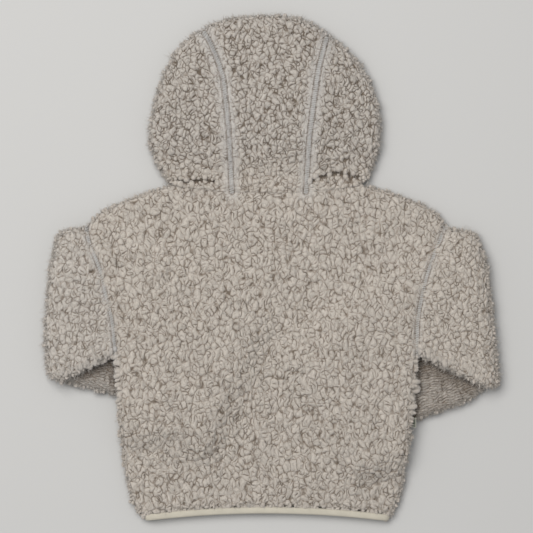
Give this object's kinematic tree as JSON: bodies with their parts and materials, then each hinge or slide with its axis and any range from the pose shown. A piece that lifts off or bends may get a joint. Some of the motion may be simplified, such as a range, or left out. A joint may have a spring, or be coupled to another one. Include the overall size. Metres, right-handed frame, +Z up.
{
  "type": "hooded sherpa jacket",
  "caption": "Small child's hooded zip jacket of high-pile sherpa cloth, laid face down with its sleeves folded under.",
  "frame": {"origin": "on the surface that the jacket lies on, under the middle of its box", "axes": "+Y from the hem to the top of the hood, +Z up from the surface, +X towards the wearer's right side, which is the right side seen from above"},
  "size_m": [0.5074, 0.5659, 0.0331],
  "materials": {
    "sherpa": "high curly pile in flat, leaf-like curls, matt",
    "binding": "cream rib-knit binding, matt",
    "loop_tape": "dark woven tape, folded",
    "zip_tape": "woven zip tape, matt",
    "zip_metal": "dull cast metal"
  },
  "bodies": {
    "jacket": {"back_panel": "sherpa", "front_left": "sherpa", "front_right": "sherpa", "hood_centre": "sherpa", "hood_left": "sherpa", "hood_right": "sherpa", "sleeve_left": "sherpa", "sleeve_right": "sherpa", "hem_binding": "binding", "cuff_binding_left": "binding", "cuff_binding_right": "binding", "hood_binding": "binding", "side_loop": "loop_tape", "zip_tape_left": "zip_tape", "zip_tape_right": "zip_tape", "zip_slider": "zip_metal"},
    "zip_pull": {"zip_pull": "zip_metal"}
  },
  "joints": [
    {"name": "pull_swing", "type": "hinge", "parent": "jacket", "child": "zip_pull", "pos_m": [-0.0065, 0.042, 0.0026], "axis": [1, 0, 0], "range_deg": [0, 170]}
  ]
}
